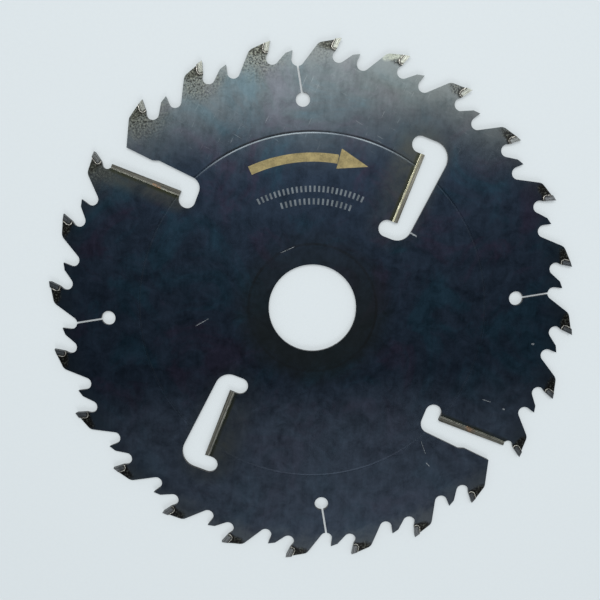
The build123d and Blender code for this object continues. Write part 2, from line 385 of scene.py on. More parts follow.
def strip_joint(name):
    """Ends of a raker strip's braze beside its carbide, which is on the left of the way along."""
    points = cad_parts[name.format("braze")].data.vertices
    corners = sorted({(round(v.co.x / MM, 3), round(v.co.y / MM, 3)) for v in points})
    corners = [Vector(corner) for corner in corners]
    low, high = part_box(name.format("strip"))
    carbide = ((low + high) / 2 / MM).to_2d()
    runs = [(a, b) for a in corners for b in corners if (a - b).length > STRIP_MINIMUM]
    first, last = min(runs, key=lambda run: ((run[0] + run[1]) / 2 - carbide).length)
    if (last - first).cross(carbide - first) < 0:
        first, last = last, first
    return first, last


def strip_heading(name):
    """Way along a raker strip, in radians from +X."""
    first, last = strip_joint(name)
    return atan2(last.y - first.y, last.x - first.x)


def joint_lines(names, width):
    """Lines of a width along some strips' brazes."""
    return [(*strip_joint(name), width) for name in names]


def add_node(tree, kind, *values, out=0, sockets=None, stops=None, **settings):
    """Adds a node with its settings, and gives one output, or all with out=None. Sockets take
    values, links or colours of three parts, in order or by name."""
    node = tree.nodes.new("ShaderNode" + kind)
    for name, value in settings.items():
        setattr(node, name, value)
    if stops:
        ramp = node.color_ramp.elements
        for _ in stops[2:]:
            ramp.new(0.5)
        for stop, (place, colour) in zip(ramp, stops):
            stop.position, stop.color = place, (*colour, 1.0)
    for name, value in (dict(enumerate(values)) | (sockets or {})).items():
        socket = node.inputs[name]
        if isinstance(value, bpy.types.NodeSocket):
            tree.links.new(value, socket)
        else:
            socket.default_value = (*value, 1.0) if socket.type == "RGBA" else value
    return node.outputs if out is None else node.outputs[out]


def new_material(name):
    """Material, the function that adds nodes to it, and Object coordinates in millimetres."""
    material = bpy.data.materials.new(name)
    material.use_nodes = True
    material.node_tree.nodes.clear()
    add = partial(add_node, material.node_tree)
    place = add("TexCoord", out="Object")
    place = add("VectorMath", place, sockets={"Scale": 1 / MM}, operation="SCALE")
    return material, add, place


def polar(add, place):
    """Radius from the bore's axis, and place round the rim as (back from the nearest tip, out)."""
    flat = add("VectorMath", place, (1, 1, 0), **TIMES)
    radius = add("VectorMath", flat, out="Value", operation="LENGTH")
    x, y, _ = add("SeparateXYZ", flat, out=None)
    turn = add("Math", y, x, operation="ARCTAN2")
    turn = add("Math", turn, radians(FIRST_TIP_ANGLE), operation="SUBTRACT")
    turn = add("Math", turn, radians(PITCH) / 2, -radians(PITCH) / 2, operation="WRAP")
    back = add("Math", turn, radius, **TIMES)
    return radius, add("CombineXYZ", back, radius)


def line_mask(add, place, *lines):
    """Mask of straight lines, each (start, end, width): one along them, and half at their edges."""
    mask = 0.0
    flat = add("VectorMath", place, (1, 1, 0), **TIMES)
    for start, end, width in lines:
        start = Vector((*start, 0))
        run = Vector((*end, 0)) - start
        offset = add("VectorMath", flat, start, operation="SUBTRACT")
        share = run / run.length_squared
        along = add("VectorMath", offset, share, **ALONG)
        along = add("Clamp", along)
        foot = add("VectorMath", run, sockets={"Scale": along}, operation="SCALE")
        gap = add("VectorMath", offset, foot, out="Value", operation="DISTANCE")
        line = add("MapRange", gap, width * 0.25, width * 0.75, 1.0, 0.0, **SMOOTH)
        mask = add("Math", mask, line, **HIGHEST)
    return mask


def metal_surface(add, colour, rough, relief, strength, depth, metallic=1.0):
    """Ends a material as metal, with a relief of a strength and a depth in millimetres."""
    relief = {"Strength": strength, "Distance": depth * MM, "Height": relief}
    bump = add("Bump", sockets=relief)
    surface = {"Base Color": colour, "Metallic": metallic, "Roughness": rough, "Normal": bump}
    surface = add("BsdfPrincipled", sockets=surface)
    add("OutputMaterial", surface, out=None)


def oxide_clouds(add, place, radius, finish):
    """Colour of the oxide: navy with plum and teal clouds, thinner and greyer at the top, the grey
    partly a painted highlight of the light above, and paler blue-grey at the bottom.
    """
    right, height, _ = add("SeparateXYZ", place, out=None)
    warp = {"Scale": MM / finish.cloud, "Detail": 6.0, "Roughness": 0.62, "Distortion": 0.9}
    clouds = add("TexNoise", place, sockets=warp)
    blues = [(0.36, finish.plum), (0.46, finish.navy), (0.53, finish.navy), (0.63, finish.teal)]
    thick = add("ValToRGB", clouds, stops=blues)
    # The thin oxide's greys, which also stand in as a painted highlight of the light above
    slates = [(0.40, finish.slate_warm), (0.50, finish.slate), (0.62, finish.slate_teal)]
    thin = add("ValToRGB", clouds, stops=slates)
    plain = add("MapRange", right, *PLAIN_OXIDE, 0.0, 0.75, **SMOOTH)
    thin = add("Mix", sockets={0: plain, 6: thin, 7: finish.slate_plain}, **COLOURS)

    # The edges of the grey top (thin oxide and painted highlight) and of the paler blue-grey bottom
    # drift up and down
    drift = add("TexNoise", place, sockets={"Scale": 1 / DRIFT_SIZE, "Detail": 3.0})
    drift = add("Math", drift, 50.0, -25.0, **TIMES_PLUS)
    above = add("Math", radius, 0.3, drift, **TIMES_PLUS)
    above = add("Math", above, height, operation="ADD")
    above = add("MapRange", above, *THIN_OXIDE_AND_SHEEN, **SMOOTH)
    oxide = add("Mix", sockets={0: above, 6: thick, 7: thin}, **COLOURS)
    below = add("Math", drift, 0.4, height, **TIMES_PLUS)
    below = add("MapRange", below, *LOWER_OXIDE, 0.0, 0.46, **SMOOTH)
    return add("Mix", sockets={0: below, 6: oxide, 7: finish.slate_blue}, **COLOURS)


def surface_grain(add, place):
    """Blotches a few millimetres wide, the faint brushed lay of the surface grinding, and the tone
    that these and a fine mottle give the oxide."""
    blotches = {"Scale": 1 / BLOTCH_SIZE, "Detail": 7.0, "Roughness": 0.7, "Distortion": 0.4}
    blotches = add("TexNoise", place, sockets=blotches)
    brushed = add("VectorRotate", place, sockets={"Angle": radians(LAY_TURN)}, **ABOUT_Z)
    brushed = add("Mapping", brushed, sockets={"Scale": (1.0, 0.14, 1.0)})
    brushed = add("TexNoise", brushed, sockets={"Scale": 1 / LAY_WIDTH, "Detail": 3.0})
    mottle = {"Scale": 1 / MOTTLE_SIZE, "Detail": 4.0, "Roughness": 0.6}
    mottle = add("TexNoise", place, sockets=mottle)
    tone = add("Math", brushed, 0.2, blotches, **TIMES_PLUS)
    tone = add("Math", mottle, 0.25, tone, **TIMES_PLUS)
    tone = add("MapRange", tone, 0.48, 0.97, 0.6, 1.45)
    return blotches, brushed, tone


def heat_layers(add, place, radius, height, blotches, finish):
    """Layers of oxide: neutral round the teeth, where the plate was heated for the braze, dulled
    black by the flange round the bore, and heated olive beside the strips."""
    toothed = add("Math", blotches, 24.0, radius, **TIMES_PLUS)
    toothed = add("MapRange", toothed, *TOOTHED_RIM, 0.0, 0.55, **SMOOTH)
    # Lighter grey round the upper teeth, partly a painted highlight of the light above, and somewhat
    # round the lower teeth
    lower = add("MapRange", height, *LOWER_TEETH, 0.0, 0.6, **SMOOTH)
    upper = add("MapRange", height, *UPPER_TEETH, **SMOOTH)
    thin = add("Math", lower, upper, **HIGHEST)
    yield toothed, add("Mix", sockets={0: thin, 6: finish.olive, 7: finish.rim}, **COLOURS)
    seat = add("Math", blotches, 14.0, radius, **TIMES_PLUS)
    seat = add("MapRange", seat, *FLANGE_SEAT, 0.8, 0.0, **SMOOTH)
    dulled = add("MapRange", height, *LESS_DULLED, 1.0, 0.4)
    yield add("Math", seat, dulled, **TIMES), finish.seat
    heated = line_mask(add, place, *[(*strip_joint(name), width) for name, width in HEATED])
    patchy = add("MapRange", blotches, 0.35, 0.65, 0.25, 0.75)
    outward = add("MapRange", radius, *HEATED_REACH, 0.3, 1.0)
    for mask in (patchy, outward):
        heated = add("Math", heated, mask, **TIMES)
    yield heated, finish.heated


def seam_mask(add, rim, width):
    """Mask of the black flux line along the back and foot of each tip."""
    points = [(-point.x, point.y) for point in tip_edge()[:5]]
    seam = line_mask(add, rim, *[(*ends, width) for ends in zip(points, points[1:])])
    return add("Math", seam, SEAM_STRENGTH, **TIMES)


def tooth_wear(add, place, rim, finish):
    """Burnt scale behind each tip and specks round it, which reach further at the upper left.
    Gives its layers and the specked zone."""
    ragged = add("TexNoise", place, sockets={"Scale": 1 / RAGGED_SIZE, "Detail": 4.0})
    land = add("Mapping", rim, sockets=BURNT_LAND)
    land = add("VectorMath", land, out="Value", operation="LENGTH")
    land = add("Math", ragged, 5.0, land, **TIMES_PLUS)
    burnt = add("MapRange", land, 4.5, 8.0, 0.9, 0.0, **SMOOTH)
    clean = add("VectorMath", place, CLEAN_WAY, **ALONG)
    clean = add("MapRange", clean, *CLEAN_TEETH, 1.0, 0.45)
    burnt = add("Math", burnt, clean, **TIMES)

    # Bared steel far round the upper left tips, and specks there and close behind every tip
    wide = add("VectorMath", rim, SPECKED_MIDDLE, out="Value", operation="DISTANCE")
    wide = add("Math", ragged, 12.0, wide, **TIMES_PLUS)
    wide = add("MapRange", wide, 8.0, 27.0, 1.0, 0.0, **SMOOTH)
    upper = add("VectorMath", place, SPECKED_WAY, **ALONG)
    upper = add("MapRange", upper, *SPECKED_TEETH, **SMOOTH)
    wide = add("Math", wide, upper, **TIMES)
    close = add("MapRange", land, 4.5, 8.5, 0.75, 0.0, **SMOOTH)
    zone = add("Math", wide, close, **HIGHEST)
    bared = add("Math", wide, 0.6, **TIMES)
    layers = [(burnt, finish.burnt), (bared, finish.warm)]
    flecks = {"Scale": 1 / FLECK_SIZE, "Detail": 4.0, "Roughness": 0.65}
    flecks = add("TexNoise", place, sockets=flecks)
    for low, high, share, colour in (
        (0.49, 0.42, 0.95, finish.burnt),
        (0.53, 0.61, 0.65, finish.specks),
    ):
        specks = add("MapRange", flecks, low, high, **SMOOTH)
        specks = add("Math", specks, zone, **TIMES)
        layers.append((add("Math", specks, share, **TIMES), colour))
    return layers, zone


def braze_marks(add, place, rim, blotches, grit, finish):
    """Layers: a black line of flux round each tip's bead, a pale patch of bare steel on one tooth,
    and flux burnt brown along the strips' braze."""
    yield seam_mask(add, rim, PLATE_SEAM), finish.burnt
    patch = add("MapRange", grit, 0.38, 0.6, 0.15, 0.7)
    yield add("Math", line_mask(add, place, PALE_LAND), patch, **TIMES), finish.pale
    flux = add("MapRange", blotches, 0.35, 0.6, 0.25, 0.9)
    beside = line_mask(add, place, *joint_lines(STRIPS, FLUX_WIDTH))
    yield add("Math", beside, flux, **TIMES), finish.flux


def ring_sheen_and_lines(add, radius, height, wear, finish):
    """Layers: the rolled tension ring as a painted highlight with a painted shade line outside it,
    shown nearly only at the top, and the flange's dark line.
    """
    for line, half_width, strength, low, colour in RINGS:
        off = add("Math", radius, line, operation="SUBTRACT")
        off = add("Math", off, operation="ABSOLUTE")
        mark = add("MapRange", off, half_width * 0.3, half_width, strength, 0.0, **SMOOTH)
        # The tension ring's painted highlight and shade show nearly only at the top, where the light
        # catches
        clear = add("MapRange", height, *TOP_HIGHLIGHT_ZONE, low, 1.0)
        for mask in (wear, clear):
            mark = add("Math", mark, mask, **TIMES)
        yield mark, getattr(finish, colour)


def scratch_mask(add, place, wear, grit):
    """Handling scratches: a few strong ones on the front, and patches of hair-fine ones that show only
    high on the blade, as painted glints.
    """
    height, depth = add("SeparateXYZ", place, out=None)[1:]
    hairs = 0.0
    for turn in HAIR_TURNS:
        lay = add("VectorRotate", place, sockets={"Angle": radians(turn)}, **ABOUT_Z)
        lay = add("Mapping", lay, sockets={"Scale": (0.04, 1.0, 1.0)})
        lay = add("TexNoise", lay, sockets={"Scale": 1 / HAIR_WIDTH, "Detail": 1.0})
        lay = add("MapRange", lay, 0.72, 0.8, **SMOOTH)
        hairs = add("Math", hairs, lay, **HIGHEST)
    patches = add("MapRange", wear, 0.4, 0.9, 0.0, 0.22)
    # Hair-fine scratches show only high on the blade: there their brightness is a painted glint of the
    # light above
    high = add("MapRange", height, *TOP_HIGHLIGHT_ZONE)
    for mask in (patches, high):
        hairs = add("Math", hairs, mask, **TIMES)
    deep = line_mask(add, place, *SCRATCHES)
    broken = add("MapRange", grit, 0.4, 0.56, 0.1, 0.9)
    front = add("MapRange", depth, 0.0, 1.0)
    for mask in (broken, front):
        deep = add("Math", deep, mask, **TIMES)
    return add("Math", hairs, deep, **HIGHEST)


def cut_walls(add, place, finish):
    """Mask of the laser-cut walls of teeth and slots, their upright striae, and their colour."""
    normal = add("NewGeometry", out="Normal")
    upright = add("VectorMath", normal, (0, 0, 1), **ALONG)
    upright = add("Math", upright, operation="ABSOLUTE")
    wall = add("MapRange", upright, 0.3, 0.7, 1.0, 0.0)
    striae = add("Mapping", place, sockets={"Scale": (1.0, 1.0, 0.1)})
    striae = add("TexNoise", striae, sockets={"Scale": 1 / STRIA_WIDTH, "Detail": 2.0})
    cut = add("MapRange", striae, 0.35, 0.65)
    cut = add("Mix", sockets={0: cut, 6: finish.burnt, 7: finish.edge}, **COLOURS)
    return wall, striae, cut


def blued_steel(finish):
    """Spring steel, surface ground, then tempered blue: a satin, nearly black navy with plum and
    teal clouds, greyer towards the top rim, partly thin oxide and partly painted highlight, burnt
    scale and bare specks beside the braze."""
    material, add, place = new_material("blued_spring_steel")
    radius, rim = polar(add, place)
    height = add("SeparateXYZ", place, out=1)
    blotches, brushed, tone = surface_grain(add, place)
    grit = {"Scale": 1 / GRIT_SIZE, "Detail": 5.0, "Roughness": 0.75}
    grit = add("TexNoise", place, sockets=grit)
    wear = add("TexNoise", place, sockets={"Scale": 1 / WEAR_SIZE, "Detail": 3.0})
    wear = add("MapRange", wear, 0.35, 0.62, 0.3, 1.0)
    on_teeth, specked = tooth_wear(add, place, rim, finish)
    scratches = scratch_mask(add, place, wear, grit)
    wall, striae, cut = cut_walls(add, place, finish)

    # The toned clouds, and each layer laid over those before it
    colour = {0: 1.0, 6: oxide_clouds(add, place, radius, finish), 7: tone}
    colour = add("Mix", sockets=colour, **TONED)
    for mask, layer in (
        *heat_layers(add, place, radius, height, blotches, finish),
        *on_teeth,
        *braze_marks(add, place, rim, blotches, grit, finish),
        *ring_sheen_and_lines(add, radius, height, wear, finish),
        (scratches, finish.bright),
        (wall, cut),
    ):
        colour = add("Mix", sockets={0: mask, 6: colour, 7: layer}, **COLOURS)

    # Satin: rougher where the oxide is thick, with the grinding lay and the scratches as relief
    rough = add("Math", blotches, 0.2, finish.roughness - 0.1, **TIMES_PLUS)
    relief = add("Math", scratches, -1.5, brushed, **TIMES_PLUS)
    relief = add("Math", wall, striae, relief, **TIMES_PLUS)
    relief = add("Math", specked, grit, relief, **TIMES_PLUS)
    metal_surface(add, colour, rough, relief, 0.3, 0.05)
    return material


def ground_lines(add, lay, width, stretch):
    """Grinding lines along Y, drawn coarser than the real grit, which is too fine to show."""
    lay = add("Mapping", lay, sockets={"Scale": (1.0, stretch, 1.0)})
    lines = {"Scale": 1 / width, "Detail": 3.0, "Roughness": 0.7}
    return add("TexNoise", lay, sockets=lines)


def ground_metal(add, colour, layers, tone, stains, lines, roughness):
    """Ends a material as ground metal: a colour under layers, each (mask, colour), darkened by a
    tone, with its lines as relief."""
    for mask, layer in layers:
        colour = add("Mix", sockets={0: mask, 6: colour, 7: layer}, **COLOURS)
    colour = add("Mix", sockets={0: 1.0, 6: colour, 7: tone}, **TONED)
    rough = add("Math", stains, 0.24, roughness - 0.12, **TIMES_PLUS)
    metal_surface(add, colour, rough, lines, 0.4, 0.03)


def tip_carbide(finish):
    """Tungsten carbide, diamond ground: grey metal with fine lines along each tip's rake, nearly
    black where it has run hot, and paler on the uppermost tips as a painted highlight."""
    material, add, place = new_material("tip_tungsten_carbide")
    rim = polar(add, place)[1]
    lay = add("VectorRotate", rim, sockets={"Angle": -radians(TIP_HOOK)}, **ABOUT_Z)
    lines = ground_lines(add, lay, finish.line / MM, 0.08)
    patches = add("TexNoise", place, sockets={"Scale": 1 / PATCH_SIZE, "Detail": 2.0})
    stains = add("TexNoise", place, sockets={"Scale": 1 / STAIN_SIZE, "Detail": 5.0})
    height = add("SeparateXYZ", place, out=1)
    # Tips paler towards the top and the bottom of the blade
    paler = add("Math", height, operation="ABSOLUTE")
    paler = add("MapRange", paler, *PALER_TIPS, -0.2, 0.25)
    worn = add("Math", stains, 0.6, patches, **TIMES_PLUS)
    worn = add("Math", worn, paler, operation="ADD")
    worn = add("MapRange", worn, 0.62, 1.05, **SMOOTH)
    # The uppermost tips are painted paler, a painted highlight of the light above
    top_highlight = add("MapRange", height, *TIP_HIGHLIGHT_ZONE, **SMOOTH)
    seam = seam_mask(add, rim, TIP_SEAM)
    layers = ((worn, finish.pale), (top_highlight, finish.top_highlight), (seam, finish.seam))
    tone = add("MapRange", lines, 0.38, 0.62, 0.45, 1.3)
    ground_metal(add, finish.dark, layers, tone, stains, lines, finish.roughness)
    return material


def heat_mask(add, place, ragged):
    """Mask of the raker strips' heat stains, with ragged edges."""
    ragged = add("MapRange", ragged, 0.35, 0.6, 0.2, 0.9)
    return add("Math", line_mask(add, place, *STAINS), ragged, **TIMES)


def strip_silver(add, place, dull, clean):
    """Colour of the braze along the strips, dull except at the upper right."""
    across = add("VectorMath", place, SILVERY_WAY, **ALONG)
    share = add("MapRange", across, *SILVERY_STRIPS, **SMOOTH)
    silver = add("Mix", sockets={0: share, 6: dull, 7: clean}, **COLOURS)
    # A painted highlight brightens the hub end of one strip's braze
    bright = line_mask(add, place, HIGHLIGHT_RUN)
    bright = add("MapRange", bright, 0.0, 1.0, 1.0, HIGHLIGHT_GAIN)
    return add("Mix", sockets={0: 1.0, 6: silver, 7: bright}, **TONED)


def strip_carbide(finish, braze, name, strips):
    """Tungsten carbide, ground lengthwise: olive-grey metal with long parallel lines, and the
    braze that has run onto its back edge."""
    material, add, place = new_material(name)
    turn = radians(90) - strip_heading(strips[0])
    lay = add("VectorRotate", place, sockets={"Angle": turn}, **ABOUT_Z)
    lines = ground_lines(add, lay, finish.line / MM * 1.6, 0.02)
    stains = add("TexNoise", place, sockets={"Scale": 1 / STAIN_SIZE, "Detail": 5.0})
    wetted, seam, edge = (
        line_mask(add, place, *joint_lines(strips, width))
        for width in (braze.wetted / MM, STRIP_SEAM, STRIP_EDGE)
    )
    worn = add("Math", stains, 0.6, edge, **TIMES_PLUS)
    worn = add("MapRange", worn, 0.25, 1.15)
    seam = add("Math", seam, 0.55, **TIMES)
    ragged = add("MapRange", stains, 0.3, 0.55, 0.55, 1.0)
    wetted = add("Math", wetted, ragged, **TIMES)
    layers = (
        (worn, finish.strip_pale),
        (seam, finish.seam),
        (wetted, strip_silver(add, place, braze.wet_grey, braze.wet_straw)),
        (heat_mask(add, place, stains), finish.rust),
    )
    tone = add("MapRange", lines, 0.38, 0.62, 0.5, 1.3)
    height = add("SeparateXYZ", place, out=1)
    dulled = add("MapRange", height, *DULLED_STRIPS, 1.0, 0.82)
    tone = add("Math", tone, dulled, **TIMES)
    ground_metal(add, finish.strip_dark, layers, tone, stains, lines, finish.roughness)
    return material


def silver_braze(finish, name, lump, ripple, strips=False):
    """Silver braze, frozen as it flowed: bright, soft-edged and lumpy at the tips, smoother and
    duller along the strips, and brown where the flux burnt on it."""
    material, add, place = new_material(name)
    lumps = {"Scale": 1 / lump, "Detail": 1.0 if strips else 4.0, "Roughness": 0.6}
    lumps = add("TexNoise", place, sockets=lumps)
    burns = add("TexNoise", place, sockets={"Scale": 1 / BURN_SIZE, "Detail": 4.0})
    burns = add("MapRange", burns, 0.6, 0.75, 0.0, 0.6, **SMOOTH)
    burns = add("Math", burns, heat_mask(add, place, lumps), **HIGHEST)
    colour = finish.silver
    if strips:
        colour = strip_silver(add, place, finish.grey, finish.straw)
    colour = add("Mix", sockets={0: burns, 6: colour, 7: finish.rust}, **COLOURS)
    dark = 0.7 if strips else 0.3
    tone = add("MapRange", lumps, 0.36, 0.58, dark, 1.1, **SMOOTH)
    colour = add("Mix", sockets={0: 1.0, 6: colour, 7: tone}, **TONED)
    rough = add("Math", lumps, 0.3, finish.roughness - 0.14, **TIMES_PLUS)
    metal_surface(add, colour, rough, lumps, ripple, 0.06)
    return material


def etched_layer(name, colour):
    """Laser-annealed mark: a thin matt tint of the steel, mottled by the grain under it."""
    material, add, place = new_material(name)
    grain = {"Scale": 1 / ETCHED_GRAIN, "Detail": 4.0, "Roughness": 0.65}
    grain = add("TexNoise", place, sockets=grain)
    worn = add("TexNoise", place, sockets={"Scale": 1 / ETCHED_WEAR, "Detail": 2.0})
    tone = add("Math", grain, worn, operation="ADD")
    tone = add("MapRange", tone, 0.75, 1.25, 0.6, 1.1)
    tint = add("Mix", sockets={0: 1.0, 6: colour, 7: tone}, **TONED)
    metal_surface(add, tint, 0.5, grain, 0.2, 0.02, metallic=0.8)
    return material


def matt_paper(settings):
    """Matt studio paper, with a breath of grain. Seen straight, mirrored or through glass, part of
    it shows its plain colour and the rest the light and shadow on it."""
    material, add, place = new_material("matt_paper")
    grain = add("TexNoise", place, sockets={"Scale": 1 / PAPER_GRAIN})
    tone = add("MapRange", grain, 0.2, 0.8, 0.98, 1.0)
    colour = add("Mix", sockets={0: 1.0, 6: settings.floor, 7: tone}, **TONED)
    paper = add("BsdfPrincipled", sockets={"Base Color": colour, "Roughness": 0.9})
    plain = add("Emission", colour, 1.0)
    path = add("LightPath", out=None)
    seen = 0.0
    for ray in ("Is Camera Ray", "Is Glossy Ray", "Is Transmission Ray"):
        seen = add("Math", seen, path[ray], **HIGHEST)
    seen = add("Math", seen, settings.evenness, **TIMES)
    surface = add("MixShader", seen, paper, plain)
    add("OutputMaterial", surface, out=None)
    return material


def studio_world(settings):
    """Even pale light from all round."""
    world = bpy.data.worlds.new("studio_world")
    world.use_nodes = True
    world.node_tree.nodes.clear()
    add = partial(add_node, world.node_tree)
    light = add("Background", settings.backdrop, 1.0)
    add("OutputWorld", light, out=None)
    return world


def dress(names, material):
    """Gives CAD nodes a material."""
    for name in names:
        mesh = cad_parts[name].data
        mesh.materials.clear()
        mesh.materials.append(material)


def settled(piece, name, material):
    """Names a finished piece, gives it its material and sets it on the blade."""
    piece.name = name
    piece.data.name = name
    piece.data.materials.clear()
    piece.data.materials.append(material)
    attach(piece, "root")


def only(piece):
    """Leaves one piece selected, and active."""
    bpy.ops.object.select_all(action="DESELECT")
    piece.select_set(True)
    bpy.context.view_layer.objects.active = piece


def joined(piece):
    """Joins the selected pieces with this one, which keeps its place."""
    piece.select_set(True)
    bpy.context.view_layer.objects.active = piece
    bpy.ops.object.join()


def edit_all():
    """Edit mode with everything selected."""
    bpy.ops.object.mode_set(mode="EDIT")
    bpy.ops.mesh.select_all(action="SELECT")


def extruded_run(section, route):
    """Extrudes a section along a route of (point, turn in degrees, growth), in edit mode."""
    last = Vector((*section, PLATE_TOP))
    for point, turn, growth in route:
        at = Vector((*point, PLATE_TOP))
        bpy.ops.mesh.extrude_region_move(TRANSFORM_OT_translate={"value": (at - last) * MM})
        if turn:
            # With no window, transform.rotate turns the other way
            bpy.ops.transform.rotate(value=-radians(turn), orient_axis="Z", center_override=at * MM)
        bpy.ops.transform.resize(value=(growth, growth, growth), center_override=at * MM)
        last = at


def bead_start(point, heading, reach, height):
    """Adds a bead's first section at a point of the carbide's edge. The carbide is on the left of
    the heading, and the section stands on the plate to the right."""
    outward = Vector((sin(heading), -cos(heading), 0))
    middle = Vector((*point, PLATE_TOP)) + outward * reach * BEAD_OUTSET
    bpy.ops.mesh.primitive_plane_add(size=MM, location=middle * MM)
    section = bpy.context.object
    section.scale = (reach, height * BEAD_TALLNESS, 1)
    section.rotation_euler = (radians(90), 0, heading - radians(90))
    bpy.ops.object.transform_apply()
    return section


def faces_out():
    """Turns all faces of the mesh in edit mode outward, and leaves edit mode."""
    bpy.ops.mesh.select_all(action="SELECT")
    bpy.ops.mesh.normals_make_consistent(inside=False)
    bpy.ops.object.mode_set(mode="OBJECT")


def run_bead(start, heading, route, reach, height):
    """Runs a bead along a route on the front, and joins it with its twin on the back."""
    bead = bead_start(start, heading, reach, height)
    edit_all()
    extruded_run(start, route)
    faces_out()
    bpy.ops.object.duplicate()
    bpy.context.object.scale.z = -1
    bpy.ops.object.transform_apply()
    bpy.ops.object.mode_set(mode="EDIT")
    faces_out()
    joined(bead)
    return bead


def rounded_bead(bead, lump_height, lump_size):
    """Rounds the active bead and makes it lumpy."""
    smooth = bead.modifiers.new("round", "SUBSURF")
    smooth.levels = smooth.render_levels = 2
    lumps = bpy.data.textures.new("braze_lumps", "CLOUDS")
    lumps.noise_scale = lump_size * MM
    push = bead.modifiers.new("lumps", "DISPLACE")
    push.texture = lumps
    push.texture_coords = "LOCAL"
    push.strength = lump_height * MM
    push.mid_level = 0.5
    for modifier in ("round", "lumps"):
        bpy.ops.object.modifier_apply(modifier=modifier)
    bpy.ops.object.shade_smooth()


def flat_patch(width, height, radius, angle):
    """Adds a flat rectangle on the plate, its height along the radius at an angle."""
    at = way(angle) * radius * MM
    bpy.ops.mesh.primitive_plane_add(size=1, location=(at.x, at.y, PLATE_TOP * MM))
    patch = bpy.context.object
    patch.scale = (height * MM, width * MM, 1)
    patch.rotation_euler.z = radians(angle)
    bpy.ops.object.transform_apply()
    return patch


def spun(first, last, steps, copies=False):
    """Spins the selected mesh round the bore from one angle to another, and leaves edit mode."""
    bpy.ops.mesh.spin(
        steps=steps, dupli=copies, angle=radians(first - last),
        center=(0, 0, PLATE_TOP * MM), axis=(0, 0, 1),
    )
    bpy.ops.object.mode_set(mode="OBJECT")


def select_ahead(patch, point, heading):
    """Leaves a patch in edit mode with only its corners ahead of a point selected."""
    edit_all()
    bpy.ops.mesh.select_all(action="DESELECT")
    bpy.ops.mesh.select_mode(type="VERT")
    bpy.ops.object.mode_set(mode="OBJECT")
    for vertex in patch.data.vertices:
        vertex.select = (vertex.co.to_2d() / MM - point).dot(heading) > 0
    bpy.ops.object.mode_set(mode="EDIT")


def etched(piece, name, material, thickness):
    """Gives the active flat mark its thickness and finish."""
    bpy.ops.object.mode_set(mode="EDIT")
    bpy.ops.mesh.select_all(action="DESELECT")
    bpy.ops.mesh.select_mode(type="FACE")
    bpy.ops.object.mode_set(mode="OBJECT")
    for face in piece.data.polygons:
        face.select = face.normal.z < 0
    bpy.ops.object.mode_set(mode="EDIT")
    bpy.ops.mesh.flip_normals()
    bpy.ops.object.mode_set(mode="OBJECT")
    wall = piece.modifiers.new("thickness", "SOLIDIFY")
    wall.thickness = thickness
    wall.offset = 1.0
    bpy.ops.object.modifier_apply(modifier=wall.name)
    settled(piece, name, material)


class SAW_OT_plate(bpy.types.Operator):
    """Blues the plate"""

    bl_idname = "saw.plate"
    bl_label = "Blued plate"

    def execute(self, context):
        dress(["blade_plate"], blued_steel(context.scene.saw_plate))
        return {"FINISHED"}


class SAW_OT_carbide(bpy.types.Operator):
    """Gives tips and raker strips their ground carbide"""

    bl_idname = "saw.carbide"
    bl_label = "Ground carbide"

    def execute(self, context):
        finish = context.scene.saw_carbide
        braze = context.scene.saw_braze
        dress(TIPS, tip_carbide(finish))
        for place, strips in (("inner", STRIPS[:2]), ("outer", STRIPS[2:])):
            material = strip_carbide(finish, braze, place + "_strip_tungsten_carbide", strips)
            dress([name.format("strip") for name in strips], material)
        return {"FINISHED"}


class SAW_OT_braze(bpy.types.Operator):
    """Gives the brazed joints their silver"""

    bl_idname = "saw.braze"
    bl_label = "Brazed joints"

    def execute(self, context):
        finish = context.scene.saw_braze
        at_tips = silver_braze(finish, "tip_silver_braze", *TIP_BRAZE)
        at_strips = silver_braze(finish, "strip_silver_braze", *STRIP_BRAZE, strips=True)
        dress([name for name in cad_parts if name.startswith("tip_braze")], at_tips)
        dress([name.format("braze") for name in STRIPS], at_strips)
        return {"FINISHED"}


class SAW_OT_tip_beads(bpy.types.Operator):
    """Runs a braze bead round the back and foot of each tip, on both faces"""

    bl_idname = "saw.tip_beads"
    bl_label = "Tip beads"

    def execute(self, context):
        finish = context.scene.saw_braze
        # The route goes down the back and along the foot, the carbide on its left
        down = radians(270 - TIP_HOOK)
        land, corner_in, corner, corner_out, rake_foot, turn = tip_edge()
        route = [(land.lerp(corner_in, share), 0, growth) for share, growth in BACK_STATIONS]
        route += [(corner, turn, CORNER_GROWTH[0]), (corner_out, turn, CORNER_GROWTH[1])]
        route += [(corner_out.lerp(rake_foot, share), 0, growth) for share, growth in FOOT_STATIONS]
        start = land.lerp(corner_in, BEAD_START)
        bead = run_bead(start, down, route, finish.reach / MM, finish.height / MM)
        material = bpy.data.materials["tip_silver_braze"]
        for tooth in range(len(TIPS)):
            only(bead)
            bpy.ops.object.duplicate()
            piece = bpy.context.object
            piece.rotation_euler.z = radians(FIRST_TIP_ANGLE - 90 - PITCH * tooth)
            bpy.ops.object.transform_apply()
            rounded_bead(piece, *TIP_LUMPS)
            settled(piece, f"tip_bead_{tooth + 1:02d}", material)
        bpy.data.objects.remove(bead)
        return {"FINISHED"}


